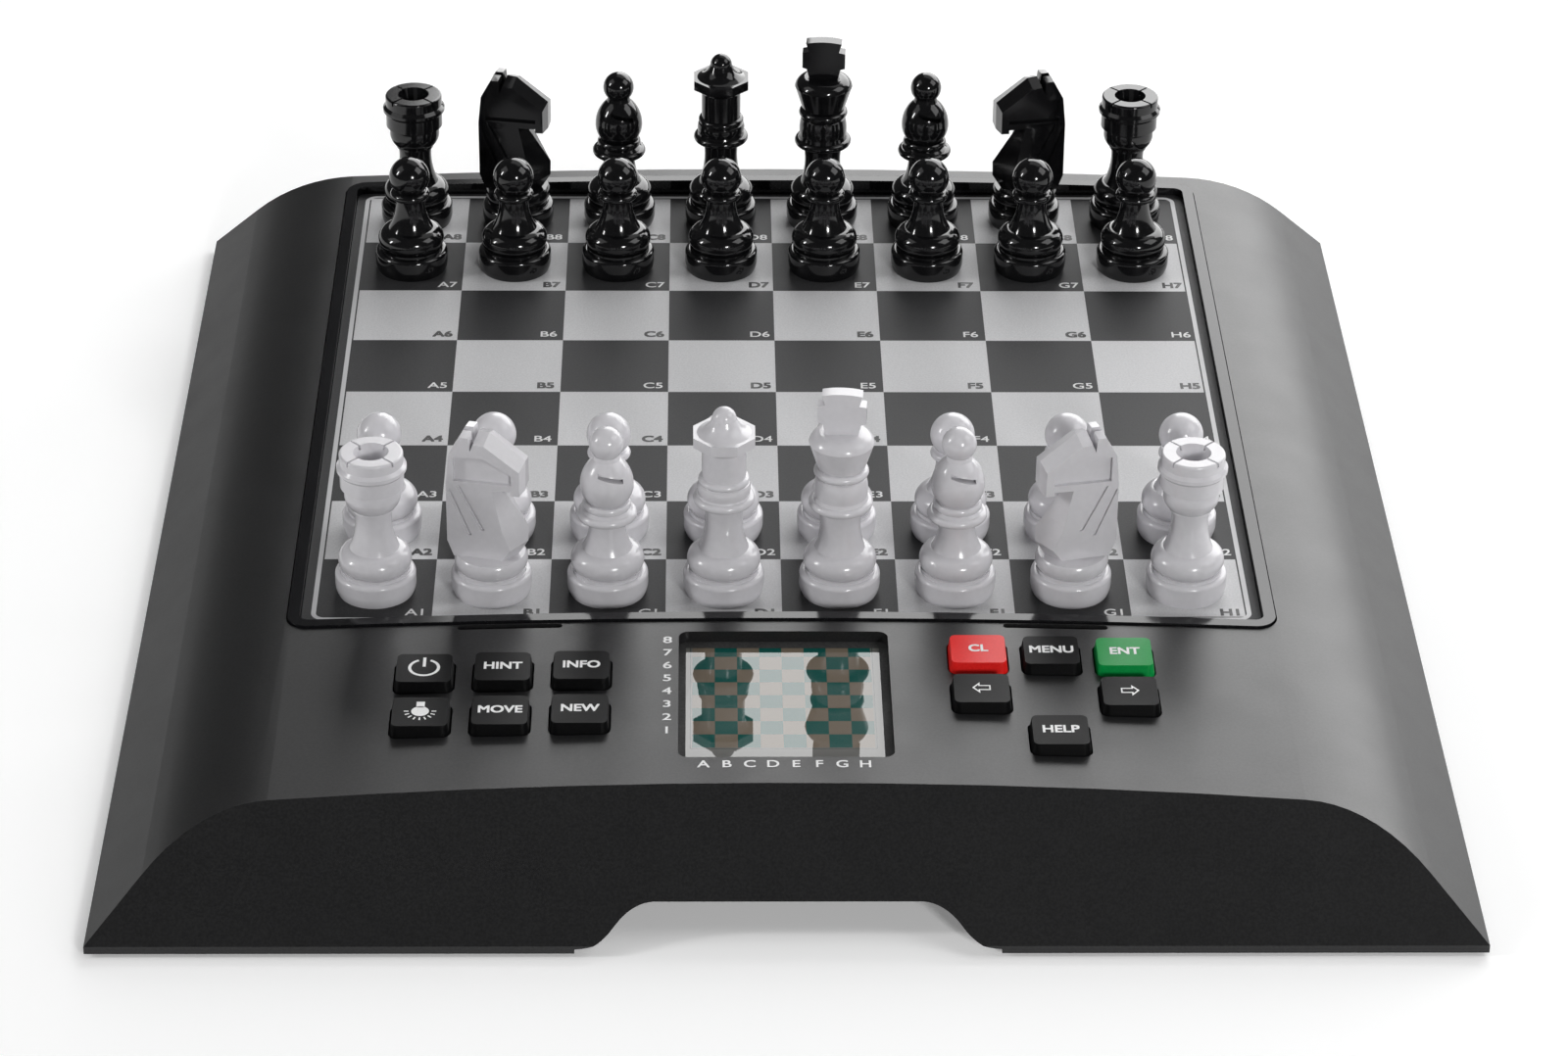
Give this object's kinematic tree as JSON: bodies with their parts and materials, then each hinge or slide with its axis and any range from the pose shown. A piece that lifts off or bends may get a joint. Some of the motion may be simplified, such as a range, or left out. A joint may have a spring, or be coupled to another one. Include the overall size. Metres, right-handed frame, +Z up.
{
  "type": "electronic chess computer",
  "caption": "Low arched tabletop chess computer: sunk board with chess pieces, small display, key pads and a hand notch in the front edge.",
  "frame": {"origin": "on the table, under the middle of the casing's footprint", "axes": "+X to the player's right, +Y away from the player, +Z up"},
  "size_m": [0.2596, 0.282, 0.0639],
  "materials": {
    "case": "satin, fine texture",
    "frame": "glossy",
    "board": "matte, printed squares",
    "circuit": "solder mask",
    "window": "glossy, clear",
    "display": "glossy",
    "silicone": "matte",
    "ribbon": "matte",
    "buzzer": "matte",
    "cell": "wrapped steel",
    "contact": "plated",
    "screw": "zinc",
    "key": "matte",
    "key_red": "matte",
    "key_green": "matte",
    "white_piece": "glossy",
    "black_piece": "glossy"
  },
  "bodies": {
    "casing": {"top_shell": "case", "bottom_shell": "case", "board_frame": "frame", "board_sheet": "board", "sensor_board": "circuit", "lcd_window": "window", "lcd_panel": "display", "main_circuit_board": "circuit", "key_mat": "silicone", "sensor_ribbon": "ribbon", "buzzer": "buzzer", "battery_cells": "cell", "battery_contacts": "contact", "rubber_feet": "silicone", "case_screws": "screw"},
    "key_power": {"key_power": "key"},
    "key_hint": {"key_hint": "key"},
    "key_info": {"key_info": "key"},
    "key_light": {"key_light": "key"},
    "key_move": {"key_move": "key"},
    "key_new": {"key_new": "key"},
    "key_clear": {"key_clear": "key_red"},
    "key_menu": {"key_menu": "key"},
    "key_enter": {"key_enter": "key_green"},
    "key_back": {"key_back": "key"},
    "key_forward": {"key_forward": "key"},
    "key_help": {"key_help": "key"},
    "battery_door": {"battery_door": "case"},
    "white_rook_a": {"white_rook_a": "white_piece"},
    "white_pawn_a": {"white_pawn_a": "white_piece"},
    "black_rook_a": {"black_rook_a": "black_piece"},
    "black_pawn_a": {"black_pawn_a": "black_piece"},
    "white_knight_b": {"white_knight_b": "white_piece"},
    "white_pawn_b": {"white_pawn_b": "white_piece"},
    "black_knight_b": {"black_knight_b": "black_piece"},
    "black_pawn_b": {"black_pawn_b": "black_piece"},
    "white_bishop_c": {"white_bishop_c": "white_piece"},
    "white_pawn_c": {"white_pawn_c": "white_piece"},
    "black_bishop_c": {"black_bishop_c": "black_piece"},
    "black_pawn_c": {"black_pawn_c": "black_piece"},
    "white_queen_d": {"white_queen_d": "white_piece"},
    "white_pawn_d": {"white_pawn_d": "white_piece"},
    "black_queen_d": {"black_queen_d": "black_piece"},
    "black_pawn_d": {"black_pawn_d": "black_piece"},
    "white_king_e": {"white_king_e": "white_piece"},
    "white_pawn_e": {"white_pawn_e": "white_piece"},
    "black_king_e": {"black_king_e": "black_piece"},
    "black_pawn_e": {"black_pawn_e": "black_piece"},
    "white_bishop_f": {"white_bishop_f": "white_piece"},
    "white_pawn_f": {"white_pawn_f": "white_piece"},
    "black_bishop_f": {"black_bishop_f": "black_piece"},
    "black_pawn_f": {"black_pawn_f": "black_piece"},
    "white_knight_g": {"white_knight_g": "white_piece"},
    "white_pawn_g": {"white_pawn_g": "white_piece"},
    "black_knight_g": {"black_knight_g": "black_piece"},
    "black_pawn_g": {"black_pawn_g": "black_piece"},
    "white_rook_h": {"white_rook_h": "white_piece"},
    "white_pawn_h": {"white_pawn_h": "white_piece"},
    "black_rook_h": {"black_rook_h": "black_piece"},
    "black_pawn_h": {"black_pawn_h": "black_piece"}
  },
  "joints": [
    {"name": "press_power", "type": "slide", "parent": "casing", "child": "key_power", "axis": [0, 0, -1], "range_m": [0, 0.001], "stiffness_N_per_m": 400, "springref_m": -0.0005},
    {"name": "press_hint", "type": "slide", "parent": "casing", "child": "key_hint", "axis": [0, 0, -1], "range_m": [0, 0.001], "stiffness_N_per_m": 400, "springref_m": -0.0005},
    {"name": "press_info", "type": "slide", "parent": "casing", "child": "key_info", "axis": [0, 0, -1], "range_m": [0, 0.001], "stiffness_N_per_m": 400, "springref_m": -0.0005},
    {"name": "press_light", "type": "slide", "parent": "casing", "child": "key_light", "axis": [0, 0, -1], "range_m": [0, 0.001], "stiffness_N_per_m": 400, "springref_m": -0.0005},
    {"name": "press_move", "type": "slide", "parent": "casing", "child": "key_move", "axis": [0, 0, -1], "range_m": [0, 0.001], "stiffness_N_per_m": 400, "springref_m": -0.0005},
    {"name": "press_new", "type": "slide", "parent": "casing", "child": "key_new", "axis": [0, 0, -1], "range_m": [0, 0.001], "stiffness_N_per_m": 400, "springref_m": -0.0005},
    {"name": "press_clear", "type": "slide", "parent": "casing", "child": "key_clear", "axis": [0, 0, -1], "range_m": [0, 0.001], "stiffness_N_per_m": 400, "springref_m": -0.0005},
    {"name": "press_menu", "type": "slide", "parent": "casing", "child": "key_menu", "axis": [0, 0, -1], "range_m": [0, 0.001], "stiffness_N_per_m": 400, "springref_m": -0.0005},
    {"name": "press_enter", "type": "slide", "parent": "casing", "child": "key_enter", "axis": [0, 0, -1], "range_m": [0, 0.001], "stiffness_N_per_m": 400, "springref_m": -0.0005},
    {"name": "press_back", "type": "slide", "parent": "casing", "child": "key_back", "axis": [0, 0, -1], "range_m": [0, 0.001], "stiffness_N_per_m": 400, "springref_m": -0.0005},
    {"name": "press_forward", "type": "slide", "parent": "casing", "child": "key_forward", "axis": [0, 0, -1], "range_m": [0, 0.001], "stiffness_N_per_m": 400, "springref_m": -0.0005},
    {"name": "press_help", "type": "slide", "parent": "casing", "child": "key_help", "axis": [0, 0, -1], "range_m": [0, 0.001], "stiffness_N_per_m": 400, "springref_m": -0.0005},
    {"name": "battery_door_swing", "type": "hinge", "parent": "casing", "child": "battery_door", "pos_m": [0, 0.08695, 0.0008], "axis": [1, 0, 0], "range_deg": [0, 75]},
    {"name": "lift_white_rook_a", "type": "slide", "parent": "casing", "child": "white_rook_a", "axis": [0, 0, 1], "range_m": [0, 0.055]},
    {"name": "lift_white_pawn_a", "type": "slide", "parent": "casing", "child": "white_pawn_a", "axis": [0, 0, 1], "range_m": [0, 0.055]},
    {"name": "lift_black_rook_a", "type": "slide", "parent": "casing", "child": "black_rook_a", "axis": [0, 0, 1], "range_m": [0, 0.055]},
    {"name": "lift_black_pawn_a", "type": "slide", "parent": "casing", "child": "black_pawn_a", "axis": [0, 0, 1], "range_m": [0, 0.055]},
    {"name": "lift_white_knight_b", "type": "slide", "parent": "casing", "child": "white_knight_b", "axis": [0, 0, 1], "range_m": [0, 0.055]},
    {"name": "lift_white_pawn_b", "type": "slide", "parent": "casing", "child": "white_pawn_b", "axis": [0, 0, 1], "range_m": [0, 0.055]},
    {"name": "lift_black_knight_b", "type": "slide", "parent": "casing", "child": "black_knight_b", "axis": [0, 0, 1], "range_m": [0, 0.055]},
    {"name": "lift_black_pawn_b", "type": "slide", "parent": "casing", "child": "black_pawn_b", "axis": [0, 0, 1], "range_m": [0, 0.055]},
    {"name": "lift_white_bishop_c", "type": "slide", "parent": "casing", "child": "white_bishop_c", "axis": [0, 0, 1], "range_m": [0, 0.055]},
    {"name": "lift_white_pawn_c", "type": "slide", "parent": "casing", "child": "white_pawn_c", "axis": [0, 0, 1], "range_m": [0, 0.055]},
    {"name": "lift_black_bishop_c", "type": "slide", "parent": "casing", "child": "black_bishop_c", "axis": [0, 0, 1], "range_m": [0, 0.055]},
    {"name": "lift_black_pawn_c", "type": "slide", "parent": "casing", "child": "black_pawn_c", "axis": [0, 0, 1], "range_m": [0, 0.055]},
    {"name": "lift_white_queen_d", "type": "slide", "parent": "casing", "child": "white_queen_d", "axis": [0, 0, 1], "range_m": [0, 0.055]},
    {"name": "lift_white_pawn_d", "type": "slide", "parent": "casing", "child": "white_pawn_d", "axis": [0, 0, 1], "range_m": [0, 0.055]},
    {"name": "lift_black_queen_d", "type": "slide", "parent": "casing", "child": "black_queen_d", "axis": [0, 0, 1], "range_m": [0, 0.055]},
    {"name": "lift_black_pawn_d", "type": "slide", "parent": "casing", "child": "black_pawn_d", "axis": [0, 0, 1], "range_m": [0, 0.055]},
    {"name": "lift_white_king_e", "type": "slide", "parent": "casing", "child": "white_king_e", "axis": [0, 0, 1], "range_m": [0, 0.055]},
    {"name": "lift_white_pawn_e", "type": "slide", "parent": "casing", "child": "white_pawn_e", "axis": [0, 0, 1], "range_m": [0, 0.055]},
    {"name": "lift_black_king_e", "type": "slide", "parent": "casing", "child": "black_king_e", "axis": [0, 0, 1], "range_m": [0, 0.055]},
    {"name": "lift_black_pawn_e", "type": "slide", "parent": "casing", "child": "black_pawn_e", "axis": [0, 0, 1], "range_m": [0, 0.055]},
    {"name": "lift_white_bishop_f", "type": "slide", "parent": "casing", "child": "white_bishop_f", "axis": [0, 0, 1], "range_m": [0, 0.055]},
    {"name": "lift_white_pawn_f", "type": "slide", "parent": "casing", "child": "white_pawn_f", "axis": [0, 0, 1], "range_m": [0, 0.055]},
    {"name": "lift_black_bishop_f", "type": "slide", "parent": "casing", "child": "black_bishop_f", "axis": [0, 0, 1], "range_m": [0, 0.055]},
    {"name": "lift_black_pawn_f", "type": "slide", "parent": "casing", "child": "black_pawn_f", "axis": [0, 0, 1], "range_m": [0, 0.055]},
    {"name": "lift_white_knight_g", "type": "slide", "parent": "casing", "child": "white_knight_g", "axis": [0, 0, 1], "range_m": [0, 0.055]},
    {"name": "lift_white_pawn_g", "type": "slide", "parent": "casing", "child": "white_pawn_g", "axis": [0, 0, 1], "range_m": [0, 0.055]},
    {"name": "lift_black_knight_g", "type": "slide", "parent": "casing", "child": "black_knight_g", "axis": [0, 0, 1], "range_m": [0, 0.055]},
    {"name": "lift_black_pawn_g", "type": "slide", "parent": "casing", "child": "black_pawn_g", "axis": [0, 0, 1], "range_m": [0, 0.055]},
    {"name": "lift_white_rook_h", "type": "slide", "parent": "casing", "child": "white_rook_h", "axis": [0, 0, 1], "range_m": [0, 0.055]},
    {"name": "lift_white_pawn_h", "type": "slide", "parent": "casing", "child": "white_pawn_h", "axis": [0, 0, 1], "range_m": [0, 0.055]},
    {"name": "lift_black_rook_h", "type": "slide", "parent": "casing", "child": "black_rook_h", "axis": [0, 0, 1], "range_m": [0, 0.055]},
    {"name": "lift_black_pawn_h", "type": "slide", "parent": "casing", "child": "black_pawn_h", "axis": [0, 0, 1], "range_m": [0, 0.055]}
  ]
}
